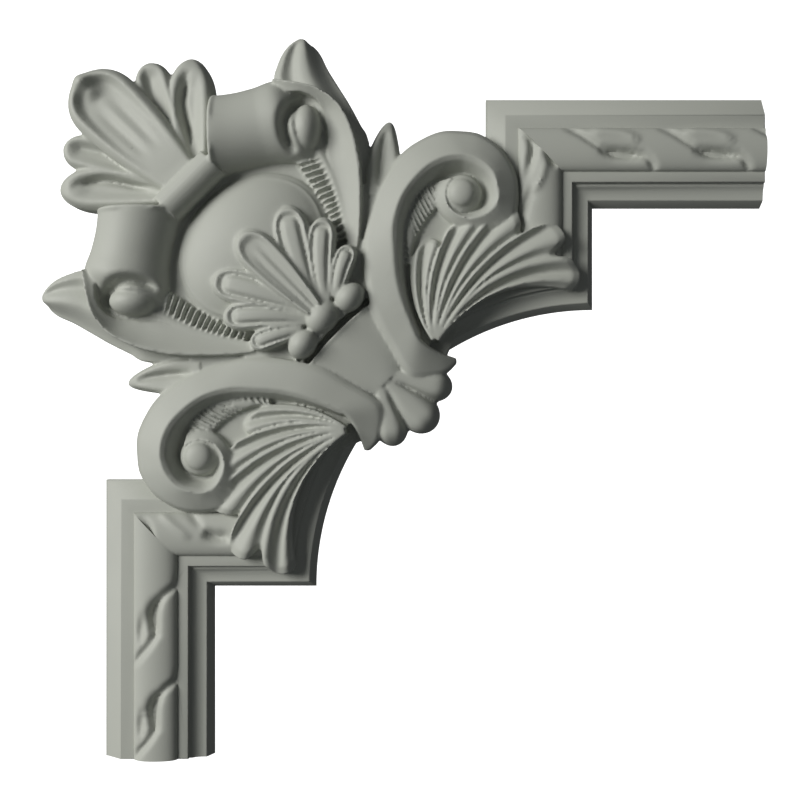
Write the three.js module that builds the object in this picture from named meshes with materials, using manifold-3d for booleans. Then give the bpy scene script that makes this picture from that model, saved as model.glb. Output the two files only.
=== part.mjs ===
// Panel moulding corner: one light foam casting that turns a wall panel's moulding through a
// stepped, hollowed corner and covers the turn with a carved shell, scrolls, leaves and palmette.
//
// It is drawn flat, as it lies against the wall: x to the right, y up and z off the wall.
// The origin is on the wall face, where the outer edges of the two runs would cross.
// The ornament is drawn in its own frame, turned by half a right angle: a runs down the
// diagonal from that crossing, and b runs square to it, to the upper right.
import * as THREE from 'three';
import { mergeVertices } from 'three/addons/utils/BufferGeometryUtils.js';
import Module from 'manifold-3d';

const wasm = await Module();
wasm.setup();

// Driving dimensions of the moulding, millimetres
const MOULDING_WIDTH = 60;
const RUN_REACH = 366; // crossing of the outer edges to the cut end of a run
const STEP_START = 212; // crossing to the side where a run steps inwards
const STEP_FOOT = 117; // outer edge of a run to the foot of its step
const LIP_HEIGHT = 5;
const LIP_WIDTH = 0.8;
const SLOPE_END = 10.5; // width at which the outer slope meets the flat
const FLAT_HEIGHT = 12.8;
const FILLET_END = 47.6;
const FILLET_DROP = 2.8;
const COVE_START = 49.2;
const COVE_END = 56;
const WALL_HEIGHT = 7.6;
const WALL_TOP = 56.8; // width of the top of the inner side wall, which leans outwards
const ARC_STEPS = 12;

// Driving dimensions of the twisted rope on the flat
const ROPE_CENTRE = 29.7;
const ROPE_HALF_WIDTH = 12;
const ROPE_RISE = 5.6;
const ROPE_PITCH = 52;
const GROOVE_RUN = 48; // length over which a groove crosses the rope
const HOLLOW_LENGTH = 30;
const HOLLOW_WIDTH = 7;
const HOLLOW_DEPTH = 4.6;
const ROPE_BED = 0.4; // how far the rope's edges sit under the flat

// Driving dimensions of the ornament
const PLATE_HEIGHT = 8; // sunk ground between the carved forms
const SINK = 1; // how far each form is sunk under the wall face before the back is cut flat
const MIN_HALF_WIDTH = 0.4;
const LEAN = 0.022; // the shell's side leans to the left, by this much for each mm up from the dome
const LEAN_END = 110;

const HALF_TURN = Math.PI;
const QUARTER_TURN = Math.PI / 2;
const EIGHTH_TURN = Math.PI / 4;

// Joining and cutting

function signedVolume(geometry) {
  const position = geometry.attributes.position;
  const index = geometry.index;
  const p = [new THREE.Vector3(), new THREE.Vector3(), new THREE.Vector3()];
  let volume = 0;
  for (let i = 0; i < index.count; i += 3) {
    p.forEach((v, k) => v.fromBufferAttribute(position, index.getX(i + k)));
    volume += p[0].dot(p[1].cross(p[2])) / 6;
  }
  return volume;
}

function solid(geometry) {
  geometry.deleteAttribute('normal');
  geometry.deleteAttribute('uv');
  const merged = mergeVertices(geometry, 1e-4);
  const corners = Array.from(merged.index.array);
  if (signedVolume(merged) < 0) {
    for (let i = 0; i < corners.length; i += 3) {
      [corners[i], corners[i + 1]] = [corners[i + 1], corners[i]];
    }
  }
  const mesh = new wasm.Mesh({
    numProp: 3,
    vertProperties: new Float32Array(merged.attributes.position.array),
    triVerts: new Uint32Array(corners),
  });
  return new wasm.Manifold(mesh);
}

function geometryOf(manifold) {
  const mesh = manifold.getMesh();
  const geometry = new THREE.BufferGeometry();
  const position = new Float32Array(mesh.vertProperties);
  geometry.setAttribute('position', new THREE.BufferAttribute(position, 3));
  geometry.setIndex(new THREE.BufferAttribute(new Uint32Array(mesh.triVerts), 1));
  return geometry;
}

// Shared shapes

const mix = (from, to, share) => from + (to - from) * share;
const clamp = (value, low, high) => Math.min(Math.max(value, low), high);
const arch = (t) => Math.sqrt(Math.max(0, 1 - t * t));

function curveThrough(points) {
  return new THREE.SplineCurve(points.map(([a, b]) => new THREE.Vector2(a, b)));
}

// A value that runs smoothly through a row of values, spaced evenly from 0 to 1
function valueThrough(values) {
  const curve = curveThrough(values.map((value, i) => [i, value]));
  return (share) => curve.getPoint(clamp(share, 0, 1)).y;
}

// A block bent over a surface: top(s, t) gives a point for s from 0 to 1 along the block and
// t from -1 to 1 across it, and the underside lies flat below the wall face.
function bentBlock(along, across, top) {
  const block = new THREE.BoxGeometry(1, 1, 1, along, across, 1);
  const position = block.attributes.position;
  for (let i = 0; i < position.count; i += 1) {
    const s = position.getX(i) + 0.5;
    const t = position.getY(i) * 2;
    const [a, b, z] = top(s, t);
    position.setXYZ(i, a, b, position.getZ(i) > 0 ? z : -SINK);
  }
  return block;
}

// A band between two edge lines, from t = -1 on the first to t = 1 on the second
function band({ first, second, along, across, height }) {
  const one = curveThrough(first);
  const two = curveThrough(second);
  return bentBlock(along, across, (s, t) => {
    const p = one.getPoint(s).lerp(two.getPoint(s), (t + 1) / 2);
    return [p.x, p.y, height(s, t)];
  });
}

// A petal along a bowed centre line, broadest near its round tip
function petal({ root, tip, bow = 0, neck, half, broad = 0.72, along, across, height }) {
  const start = new THREE.Vector2(...root);
  const end = new THREE.Vector2(...tip);
  const chord = end.clone().sub(start).normalize();
  const side = new THREE.Vector2(-chord.y, chord.x);
  const middle = start.clone().lerp(end, 0.5).addScaledVector(side, 2 * bow);
  const line = new THREE.QuadraticBezierCurve(start, middle, end);
  const halfWidth = (s) => {
    const grown = mix(neck, half, Math.sin(QUARTER_TURN * clamp(s / broad, 0, 1)));
    const rounding = s > broad ? arch((s - broad) / (1 - broad)) : 1;
    return Math.max(grown * rounding, MIN_HALF_WIDTH);
  };
  return bentBlock(along, across, (s, t) => {
    const eased = Math.sin(QUARTER_TURN * s);
    const p = line.getPoint(eased);
    const tangent = line.getTangent(eased);
    const w = halfWidth(eased) * t;
    return [p.x - tangent.y * w, p.y + tangent.x * w, height(eased, t)];
  });
}

// Height across a petal with a raised rim round a sunk middle
const spoon = (t, rim, sunk) => {
  const x = Math.abs(t);
  return x < 0.62 ? -sunk * (1 - (x / 0.62) ** 2) : -rim * ((x - 0.62) / 0.38) ** 2;
};

// The moulding

const COVE_DEPTH = 0.9;

function mouldingProfile() {
  const outline = new THREE.Shape();
  outline.moveTo(0, 0);
  outline.lineTo(MOULDING_WIDTH, 0);
  outline.lineTo(WALL_TOP, WALL_HEIGHT);
  outline.lineTo(COVE_END, WALL_HEIGHT);
  const steps = FLAT_HEIGHT - FILLET_DROP;
  outline.quadraticCurveTo(
    mix(COVE_START, COVE_END, 0.4),
    mix(steps, WALL_HEIGHT, 0.5) - COVE_DEPTH,
    COVE_START,
    steps,
  );
  outline.lineTo(FILLET_END, steps);
  outline.lineTo(FILLET_END, FLAT_HEIGHT);
  outline.lineTo(SLOPE_END, FLAT_HEIGHT);
  outline.lineTo(LIP_WIDTH, LIP_HEIGHT);
  outline.lineTo(0, LIP_HEIGHT);
  return outline;
}

// Where the line at a width w from the outer edge passes, station by station: the right run's
// end, its corner, the step's foot, the hollow arc, and the same again down the lower run.
const HOLLOW_CENTRE = STEP_START + MOULDING_WIDTH;
const HOLLOW_RADIUS = HOLLOW_CENTRE - STEP_FOOT;

function mouldingLine(w, station) {
  const last = ARC_STEPS + 4;
  const mirrored = station > last / 2;
  const k = mirrored ? last - station : station;
  const radius = HOLLOW_RADIUS + MOULDING_WIDTH - w;
  const mitre = Math.asin((MOULDING_WIDTH - w) / radius);
  const angle = mix(mitre, QUARTER_TURN - mitre, clamp((k - 2) / ARC_STEPS, 0, 1));
  const points = [
    [RUN_REACH, w],
    [STEP_START + w, w],
    [HOLLOW_CENTRE - radius * Math.sin(angle), HOLLOW_CENTRE - radius * Math.cos(angle)],
  ];
  const [right, down] = points[Math.min(k, 2)];
  return mirrored ? [down, -right] : [right, -down];
}

function moulding() {
  const stations = ARC_STEPS + 4;
  const body = new THREE.ExtrudeGeometry(mouldingProfile(), {
    depth: stations,
    steps: stations,
    bevelEnabled: false,
    curveSegments: 2,
  });
  const position = body.attributes.position;
  for (let i = 0; i < position.count; i += 1) {
    const z = position.getY(i);
    const [x, y] = mouldingLine(position.getX(i), Math.round(position.getZ(i)));
    position.setXYZ(i, x, y, z > 0 ? z : -SINK);
  }
  return body;
}

// A rope on the flat, from one station of the moulding to the next and mitred with it
function rope(station) {
  return bentBlock(1, 8, (s, t) => {
    const turned = -Math.cos((HALF_TURN * (t + 1)) / 2);
    const w = ROPE_CENTRE + ROPE_HALF_WIDTH * turned;
    const [x0, y0] = mouldingLine(w, station);
    const [x1, y1] = mouldingLine(w, station + 1);
    return [mix(x0, x1, s), mix(y0, y1, s), FLAT_HEIGHT - ROPE_BED + ROPE_RISE * arch(turned)];
  });
}

// The hollows between its strands: each groove crosses the rope slantwise from the inner edge to
// the outer one, always with the same twist, as two long hollows. The first groove leaves the
// inner edge at the given distance from the start of the stretch.
function ropeHollows(station, first, count) {
  const from = new THREE.Vector2(...mouldingLine(ROPE_CENTRE, station));
  const to = new THREE.Vector2(...mouldingLine(ROPE_CENTRE, station + 1));
  const ahead = to.clone().sub(from).normalize();
  const outward = new THREE.Vector2(ahead.y, -ahead.x);
  const slant = Math.atan2(2 * ROPE_HALF_WIDTH, GROOVE_RUN);
  const hollows = [];
  for (let i = 0; i < count; i += 1) {
    for (const share of [0.24, 0.76]) {
      const centre = from.clone()
        .addScaledVector(ahead, first + i * ROPE_PITCH + share * GROOVE_RUN)
        .addScaledVector(outward, ROPE_HALF_WIDTH * (2 * share - 1));
      const hollow = new THREE.SphereGeometry(1, 8, 5);
      hollow.rotateX(QUARTER_TURN);
      hollow.scale(HOLLOW_LENGTH / 2, HOLLOW_WIDTH / 2, HOLLOW_DEPTH);
      hollow.rotateZ(ahead.angle() - slant);
      hollow.translate(centre.x, centre.y, FLAT_HEIGHT + ROPE_RISE * 0.8);
      hollows.push(hollow);
    }
  }
  return hollows;
}

const LAST_STATION = ARC_STEPS + 4;
const ROPE_STRETCHES = [
  { station: 0, first: RUN_REACH - 357, count: 2 },
  { station: 1, first: 2, count: 1 },
  { station: LAST_STATION - 2, first: 8, count: 1 },
  { station: LAST_STATION - 1, first: 20, count: 2 },
];

// The ornament, drawn on its own side of the diagonal

// Sunk ground that ties the carved forms together
function ground() {
  const edge = [
    [-4, 8], [6, 19], [30, 40], [45, 43], [62, 64], [66, 86], [84, 90], [108, 84],
    [124, 82], [136, 84], [142, 104], [160, 126], [184, 130], [208, 110], [240, 34], [246, 12],
  ];
  const outline = new THREE.Shape();
  edge.forEach(([a, b], i) => (i === 0 ? outline.moveTo(a, b) : outline.lineTo(a, b)));
  [...edge].reverse().forEach(([a, b]) => outline.lineTo(a, -b));
  const plate = new THREE.ExtrudeGeometry(outline, {
    depth: PLATE_HEIGHT + SINK,
    bevelEnabled: false,
  });
  return plate.translate(0, 0, -SINK);
}

function shellLobes() {
  const heart = petal({
    root: [76, 0], tip: [-16, 0], neck: 9, half: 21, broad: 0.76, along: 8, across: 12,
    height: (s, t) => {
      const ridges = 1.2 * Math.cos(3 * HALF_TURN * t) * clamp(1.6 - 2 * s, 0, 1);
      return mix(24, 15, s) + spoon(t, 5, 5 * Math.sin(HALF_TURN * s ** 1.6)) + ridges;
    },
  });
  return [heart];
}

function sideLobes() {
  const small = petal({
    root: [74, 2], tip: [5, 31], bow: -1, neck: 4, half: 10, broad: 0.82, along: 7, across: 6,
    height: (s, t) => mix(22, 13, s) + spoon(t, 5, 3 * Math.sin(HALF_TURN * s)),
  });
  const large = petal({
    root: [74, 5], tip: [19, 50], bow: -1, neck: 4, half: 13, broad: 0.78, along: 7, across: 6,
    height: (s, t) => mix(22, 13, s) + spoon(t, 5, 7 * Math.sin(HALF_TURN * s)),
  });
  return [small, large];
}

// The tie that gathers the shell: a short roll lying across the diagonal
function tie() {
  return bentBlock(6, 8, (s, t) => [72 + 8 * t, mix(-17, 17, s), 20 + 9 * arch(t)]);
}

// The flaring roll beside the shell, and its small curled end
const ROLL_BASE = 10;
const ROLL_RISE = 22;

function roll() {
  return band({
    first: [[44, 45], [50, 53], [56, 63], [61, 74]],
    second: [[78, 12], [84, 24], [90, 36], [98, 49]],
    along: 5,
    across: 10,
    height: (s, t) => ROLL_BASE + (ROLL_RISE + 3 * (2 * s - 1) ** 2) * arch(0.97 * t),
  });
}

function curl() {
  return petal({
    root: [82, 68], tip: [104, 55], bow: 1, neck: 5, half: 6, broad: 0.5, along: 5, across: 6,
    height: (s, t) => 21 + 9 * arch(t),
  });
}

// The strap that runs on from the roll's curled end and the pointed leaf under it
function strap() {
  const crest = valueThrough([30, 29, 27, 25, 24, 24, 22]);
  return band({
    first: [[66, 74], [85, 85], [98, 86], [113, 80], [127, 70], [141, 57], [158, 42]],
    second: [[74, 64], [90, 70], [98, 66], [108, 58], [122, 54], [138, 48], [155, 42]],
    along: 10,
    across: 4,
    height: (s, t) => crest(s) - (t < -0.5 ? 3 * (-0.5 - t) : 3.4 * (t + 0.5)),
  });
}

function pointedLeaf() {
  const crest = valueThrough([9, 13, 15, 17, 18, 19, 20]);
  return band({
    first: [[55, 103], [72, 99], [85, 95], [104, 91], [121, 88], [136, 73], [160, 42]],
    second: [[54.5, 102.5], [56, 84], [61, 73], [78, 66], [104, 60], [126, 54], [154, 38]],
    along: 9,
    across: 4,
    height: (s, t) => crest(s) - 5 * Math.abs(t) ** 2 - 2 * Math.cos(HALF_TURN * t) * (1 - s),
  });
}

function smallLeaf() {
  return petal({
    root: [141, 80], tip: [120, 101], bow: 1, neck: 4, half: 7.5, broad: 0.45, along: 6, across: 4,
    height: (s, t) => mix(16, 11, s) + spoon(t, 4, 2.5 * Math.sin(HALF_TURN * s)),
  });
}

// The smooth dome behind the palmette
function dome() {
  const ball = new THREE.SphereGeometry(1, 20, 9);
  return ball.scale(39, 49, 24).translate(119, 0, 7);
}

// A curved row of small notches
function notchedBand(first, second, count, low, high) {
  return band({
    first,
    second,
    along: 2 * count,
    across: 1,
    height: (s) => mix(low, high, 0.5 - 0.5 * Math.cos(2 * HALF_TURN * count * s)),
  });
}

function domeNotches() {
  return notchedBand(
    [[104, 51], [120, 45], [135, 41], [150, 36]],
    [[112, 60], [126, 55], [139, 48], [154, 40]],
    10, 14, 16,
  );
}

// The big scroll: a broad ribbon that ends below in a hook and above in a volute round a boss
function scroll() {
  const crest = valueThrough([15, 21, 25, 27, 27, 27, 27, 27, 27, 26, 25, 24, 23, 23]);
  const outer = [
    [242, 35], [236, 20], [224, 11], [200, 17], [187, 23], [172, 35], [160, 47], [147, 61],
    [138, 78], [136, 93], [141, 109], [151, 123], [166, 132], [181, 134], [193, 129],
    [201, 120], [202, 110], [198, 101], [191, 94], [183, 90], [175, 90], [169, 95],
  ];
  const inner = [
    [238, 37], [229, 31], [218, 29], [205, 32], [193, 39], [181, 49], [169, 60], [161, 71],
    [155, 85], [155, 96], [158, 104], [165, 112], [173, 116], [181, 117], [188, 115],
    [193, 111], [195, 105], [193, 99], [188, 96], [183, 93], [177, 93], [173, 96],
  ];
  return band({
    first: outer,
    second: inner,
    along: 32,
    across: 4,
    height: (s, t) => {
      const q = (t + 1) / 2;
      const climb = Math.sin(QUARTER_TURN * Math.min(1, q / 0.75)) ** 0.8;
      return mix(crest(s) * 0.55, crest(s), climb) - (q > 0.95 ? 1.5 : 0);
    },
  });
}

function boss() {
  const ball = new THREE.SphereGeometry(8, 12, 6);
  return ball.scale(1, 1, 2.1).translate(178, 102, 7);
}

function crescentNotches() {
  return notchedBand(
    [[168, 100], [163, 90], [165, 78], [172, 66], [183, 53]],
    [[171, 93], [174, 82], [179, 69], [186, 56], [187, 52]],
    12, 12, 14,
  );
}

// The leaf that springs from the scroll's hook: each lobe is a channel between two ridges
const LEAF_BASE = [229, 33];
const LEAF_LOBES = [57, 67, 87, 93, 87];
const LEAF_FIRST_ANGLE = 150;
const LEAF_LAST_ANGLE = 67;
const LEAF_NOTCH = 9;
const LEAF_BOW = 8;

function leaf() {
  const count = LEAF_LOBES.length;
  const reach = valueThrough([50, ...LEAF_LOBES, 82]);
  const base = new THREE.Vector2(...LEAF_BASE);
  return bentBlock(6, count * 4, (s, t) => {
    const share = (t + 1) / 2;
    const phase = Math.cos(2 * HALF_TURN * count * share);
    const angle = THREE.MathUtils.degToRad(mix(LEAF_FIRST_ANGLE, LEAF_LAST_ANGLE, share));
    const spread = (1 + share * (count)) / (count + 1);
    const length = reach(spread) - LEAF_NOTCH * (0.5 + 0.5 * phase) ** 1.5;
    const heading = new THREE.Vector2(Math.cos(angle), Math.sin(angle));
    const left = new THREE.Vector2(-heading.y, heading.x);
    const far = 5 + (length - 5) * s;
    const bow = LEAF_BOW * 4 * s * (1 - s);
    const p = base.clone().addScaledVector(heading, far).addScaledVector(left, bow * 0.5);
    const flute = 2.6 * phase * Math.sin(HALF_TURN * clamp(0.15 + 0.75 * s, 0, 1));
    return [p.x, p.y, mix(20, 22, Math.sin(HALF_TURN * s)) - 4 * s * s + flute];
  });
}

// The palmette over the dome, its beads and the panel under it
const PALMETTE_ROOT = [171, 0];
const PALMETTE_PETALS = [
  { reach: 51, angle: 149, half: 6.5, bow: -3 },
  { reach: 46, angle: 127, half: 6, bow: -3 },
  { reach: 35, angle: 105, half: 4.5, bow: -2 },
];

function palmettePetal(reach, angle, half, bow) {
  const turn = THREE.MathUtils.degToRad(angle);
  const root = [PALMETTE_ROOT[0] + 6 * Math.cos(turn), 6 * Math.sin(turn)];
  const tip = [
    PALMETTE_ROOT[0] + (reach + 6) * Math.cos(turn),
    PALMETTE_ROOT[1] + (reach + 6) * Math.sin(turn),
  ];
  return petal({
    root, tip, bow, neck: 2, half, broad: 0.76, along: 5, across: 6,
    height: (s, t) => 30 + 3 * Math.sin(HALF_TURN * s) - 1.5 * s + spoon(t, 2, 3.5),
  });
}

function palmetteCentre() {
  return petal({
    root: [168, 0], tip: [112, 0], neck: 3, half: 9.5, broad: 0.7, along: 6, across: 6,
    height: (s, t) => 32 + 3 * Math.sin(HALF_TURN * s) - 1.5 * s + spoon(t, 2, 2.5),
  });
}

function bead(a, b, radius) {
  const ball = new THREE.SphereGeometry(radius, 10, 6);
  return ball.scale(1, 1, 1.3).translate(a, b, 34 - 1.3 * radius);
}

// The bed that the beads lie on, between the palmette and the panel
function beadBed() {
  return bentBlock(2, 6, (s, t) => [mix(166, 184, s), 24 * t, 20 - 4 * t * t]);
}

function panel() {
  const width = valueThrough([24, 17, 12, 10, 9]);
  return bentBlock(6, 4, (s, t) => {
    const reach = mix(186, 224, s) + 4 * t * t * (1 - s);
    return [reach, width(s) * t, mix(24, 19, s) - 2 * (1 - t * t)];
  });
}

// The fan of three drops at the foot
function drops() {
  const middle = petal({
    root: [222, 0], tip: [259, 0], neck: 4, half: 9.5, broad: 0.68, along: 5, across: 6,
    height: (s, t) => 9 + 9 * arch(t) * (1 - 0.4 * s),
  });
  return [middle];
}

function sideDrop() {
  return petal({
    root: [222, 3], tip: [250, 22], bow: -2, neck: 4, half: 8, broad: 0.66, along: 5, across: 6,
    height: (s, t) => 10 + 9 * arch(t) * (1 - 0.4 * s),
  });
}

// Putting it together

// Everything under the wall face is cut off, so that the back is one flat
function wallSide() {
  const thick = 60;
  const wide = 3 * RUN_REACH;
  return new THREE.BoxGeometry(wide, wide, thick).translate(0, 0, -thick / 2);
}

function ontoDiagonal(geometry) {
  const position = geometry.attributes.position;
  for (let i = 0; i < position.count; i += 1) {
    const above = Math.max(0, LEAN_END - position.getX(i));
    position.setY(i, position.getY(i) - LEAN * above);
  }
  return geometry.rotateZ(-EIGHTH_TURN);
}

function bothSides(geometry) {
  const other = geometry.clone().scale(1, -1, 1);
  return [geometry, other];
}

const paired = [
  ...sideLobes(),
  roll(),
  curl(),
  strap(),
  pointedLeaf(),
  smallLeaf(),
  domeNotches(),
  scroll(),
  boss(),
  crescentNotches(),
  leaf(),
  ...PALMETTE_PETALS.map(({ reach, angle, half, bow }) => palmettePetal(reach, angle, half, bow)),
  bead(178, 14.5, 7),
  sideDrop(),
];

const single = [
  ground(),
  ...shellLobes(),
  tie(),
  dome(),
  palmetteCentre(),
  beadBed(),
  bead(175, 0, 8.6),
  panel(),
  ...drops(),
];

const ornament = [...paired.flatMap(bothSides), ...single].map(ontoDiagonal);

const join = (body, form) => body.add(solid(form));
const cut = (body, form) => body.subtract(solid(form));

const ropes = ROPE_STRETCHES.map(({ station }) => rope(station));
const hollows = ROPE_STRETCHES.flatMap(
  ({ station, first, count }) => ropeHollows(station, first, count),
);
const roped = hollows.reduce(cut, ropes.slice(1).reduce(join, solid(ropes[0])));
const frame = solid(moulding()).add(roped);
const casting = cut(ornament.reduce(join, frame), wallSide());

const finish = new THREE.MeshStandardMaterial({ color: 0xb4b7ad, roughness: 0.62, metalness: 0 });
const corner = new THREE.Mesh(geometryOf(casting), finish);
corner.name = 'corner_moulding';

// Stood up against the wall: the front faces -y and the top is +z
const part = new THREE.Group();
part.rotation.x = QUARTER_TURN;
part.add(corner);

export default part;
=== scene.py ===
# %% [markdown]
# A panel moulding corner. It is one casting in light rigid foam, primed a matte grey green, that
# carries a wall panel's moulding round a stepped corner and hides the turn under carved work:
# a shell tied with a short roll, two flaring rolls, two straps with pointed leaves, a smooth
# dome with a palmette, two scrolls that each throw out a leaf, and three drops at the foot.
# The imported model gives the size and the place, so it is loaded first and its box is kept.

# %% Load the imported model
import math

import bmesh
import bpy
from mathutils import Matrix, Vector


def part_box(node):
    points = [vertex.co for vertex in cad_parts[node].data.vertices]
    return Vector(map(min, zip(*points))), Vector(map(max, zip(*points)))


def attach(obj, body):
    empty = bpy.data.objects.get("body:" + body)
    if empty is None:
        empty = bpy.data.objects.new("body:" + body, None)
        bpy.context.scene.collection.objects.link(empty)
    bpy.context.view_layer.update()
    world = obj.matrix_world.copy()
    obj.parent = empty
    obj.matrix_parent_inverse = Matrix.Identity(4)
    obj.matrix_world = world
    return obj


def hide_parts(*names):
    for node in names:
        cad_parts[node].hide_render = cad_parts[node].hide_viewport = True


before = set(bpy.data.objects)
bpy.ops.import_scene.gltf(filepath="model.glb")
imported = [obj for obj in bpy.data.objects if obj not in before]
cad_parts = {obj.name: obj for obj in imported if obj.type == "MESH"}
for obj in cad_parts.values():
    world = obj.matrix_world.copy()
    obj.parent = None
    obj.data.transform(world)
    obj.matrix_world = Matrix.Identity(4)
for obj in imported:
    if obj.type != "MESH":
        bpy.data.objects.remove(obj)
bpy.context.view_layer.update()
node_low, node_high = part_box("corner_moulding")
print("the casting's box, metres:", [round(v, 3) for v in (*node_low, *node_high)])

# %% [markdown]
# Everything is drawn in millimetres flat on the wall and then stood up: x runs right, the height
# off the wall becomes -y, and down becomes -z. The ornament is easier to draw in its own frame,
# turned by half a right angle, where a runs down the diagonal and b square to it. A form and its
# mirror image then differ only in the sign of b. The carver's model leaned a little to the left
# at the shell, and so does this one.

# %% Places and shares
MM = 0.001
ROOT_HALF = math.sqrt(0.5)
HALF_TURN = math.pi
QUARTER_TURN = math.pi / 2
LEAN = 0.022
LEAN_END = 110


def on_wall(right, down, height):
    return Vector((right, -height, -down)) * MM


def on_diagonal(a, b, height):
    b -= LEAN * max(0, LEAN_END - a)
    return on_wall((a + b) * ROOT_HALF, (a - b) * ROOT_HALF, height)


def mix(start, end, share):
    return start + (end - start) * share


def clamp(value, low=0.0, high=1.0):
    return min(max(value, low), high)


def arch(t):
    return math.sqrt(max(0.0, 1 - t * t))


def smooth(value, low, high):
    share = clamp((value - low) / (high - low))
    return share * share * (3 - 2 * share)


def bump(distance, width):
    return math.exp(-((distance / width) ** 2))


def curve_through(points):
    """A smooth line through points, as a function of a share from 0 to 1."""
    rows = [Vector(p) for p in points]

    def at(share):
        spot = clamp(share) * (len(rows) - 1)
        i = min(int(spot), len(rows) - 2)
        t = spot - i
        p1, p2 = rows[i], rows[i + 1]
        p0 = rows[i - 1] if i > 0 else p1
        p3 = rows[i + 2] if i + 2 < len(rows) else p2
        pull0, pull1 = (p2 - p0) / 2, (p3 - p1) / 2
        cubic = (2 * (p1 - p2) + pull0 + pull1) * t**3
        return cubic + (3 * (p2 - p1) - 2 * pull0 - pull1) * t**2 + pull0 * t + p1

    return at


def value_through(values):
    line = curve_through([(i, v) for i, v in enumerate(values)])
    return lambda share: line(share).y


# %% [markdown]
# Nearly every carved form here is a block bent over a surface: a leaf, a ribbon or a roll has a
# shaped top and stands on the wall. It could be a height map, but then one form could not
# overlap another. So each one starts as a flat grid, its face region is extruded to close it
# into a block, and then the top is moved by a rule while the underside stays flat behind the
# wall face, where it is trimmed off later.

# %% Bent blocks
SINK = 3.0
BOTH_SIDES = (1, -1)
ONE_SIDE = (1,)
MIN_HALF_WIDTH = 0.35


def bent_block(bm, along, across, top, sides=BOTH_SIDES, place=on_diagonal):
    """top(s, t) gives a place and a height for s from 0 to 1 and t from -1 to 1."""
    known = {}
    for side in sides:
        grid = bmesh.ops.create_grid(bm, x_segments=along, y_segments=across, size=0.5)
        faces = list({face for v in grid["verts"] for face in v.link_faces})
        raised = bmesh.ops.extrude_face_region(bm, geom=faces)["geom"]
        raised = [v for v in raised if isinstance(v, bmesh.types.BMVert)]
        for verts, is_top in ((grid["verts"], False), (raised, True)):
            for v in verts:
                spot = (round(v.co.x, 5), round(v.co.y, 5))
                if spot not in known:
                    known[spot] = top(v.co.x + 0.5, 2 * v.co.y)
                a, b, height = known[spot]
                v.co = place(a, b * side, height if is_top else -SINK)


# %% [markdown]
# A carver finishes a form with gouges: one stroke cuts a groove that is deepest in its middle
# and runs out at its ends. A stroke here is a line on the form with a width and a depth, and a
# stroke with a depth below zero leaves a raised bead instead.

# %% Gouge strokes
def stroke(points, width, depth, run_out=0.25):
    line = curve_through(points)
    count = 8 * (len(points) - 1)
    rows = [line(i / count) for i in range(count + 1)]

    def cut(a, b):
        place = Vector((a, b))
        distance, i = min(((row - place).length, i) for i, row in enumerate(rows))
        if distance > 3 * width:
            return 0
        share = i / count
        run = smooth(min(share, 1 - share), -0.02, run_out) if run_out else 1
        return depth * run * bump(distance, width)

    return cut


def carved(top, strokes):
    def cut_top(s, t):
        a, b, height = top(s, t)
        return a, b, height - sum(cut(a, b) for cut in strokes)

    return cut_top


def between(first, second, height):
    """The top of a band between two edge lines, t = -1 on the first and t = 1 on the second."""
    one, two = curve_through(first), curve_through(second)

    def top(s, t):
        p = one(s).lerp(two(s), (t + 1) / 2)
        return p.x, p.y, height(s, t)

    return top


def petal(root, tip, neck, half, height, bow=0, broad=0.72, taper=arch):
    """A petal on a bowed centre line. height(s, t, e) also gets e, the nearness to its edge."""
    start, end = Vector(root), Vector(tip)
    chord = (end - start).normalized()
    bend = (start + end) / 2 + Vector((-chord.y, chord.x)) * 2 * bow

    def top(s, t):
        s = math.sin(QUARTER_TURN * s)
        p = start * (1 - s) ** 2 + bend * 2 * s * (1 - s) + end * s * s
        ahead = ((bend - start) * (1 - s) + (end - bend) * s).normalized()
        ending = clamp((s - broad) / (1 - broad))
        grown = mix(neck, half, math.sin(QUARTER_TURN * clamp(s / broad)))
        w = max(grown * taper(ending), MIN_HALF_WIDTH) * t
        edge = (abs(t) ** 4 + ending**4) ** 0.25
        return p.x - ahead.y * w, p.y + ahead.x * w, height(s, t, edge)

    return top


def spoon(edge, rim, sunk, start=0.66):
    """Height across a petal with a raised rim round a sunk middle."""
    inside = sunk * (1 - smooth(edge, 0.1, start))
    outside = rim * clamp((edge - start) / (1 - start)) ** 2.2
    return -inside - outside


def ball(bm, a, b, height, radii, sides=BOTH_SIDES, rows=24, shape=None):
    for side in sides:
        made = bmesh.ops.create_uvsphere(bm, u_segments=2 * rows, v_segments=rows, radius=1)
        for v in made["verts"]:
            x, y, z = shape(*v.co) if shape else v.co
            x, y, z = x * radii[0], y * radii[1], z * radii[2]
            v.co = on_diagonal(a + x, (b + y) * side, height + z)


def plate(bm, outline, height, sides):
    """A flat slab with a drawn outline."""
    for side in sides:
        verts = [bm.verts.new(on_diagonal(a, b * side, -SINK)) for a, b in outline]
        lifted = bmesh.ops.extrude_face_region(bm, geom=[bm.faces.new(verts)])["geom"]
        lifted = [v for v in lifted if isinstance(v, bmesh.types.BMVert)]
        bmesh.ops.translate(bm, verts=lifted, vec=on_wall(0, 0, height + SINK))


def mirrored(half_outline):
    return half_outline + [(a, -b) for a, b in reversed(half_outline)]


# %% [markdown]
# Flat grounds tie the forms together: a low one under the whole ornament, a higher one in its
# middle, one inside each scroll, and small ones where straps, palmette and panel meet the scrolls.
# They are the only forms with a drawn outline.

# %% Grounds
carving = bmesh.new()

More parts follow.
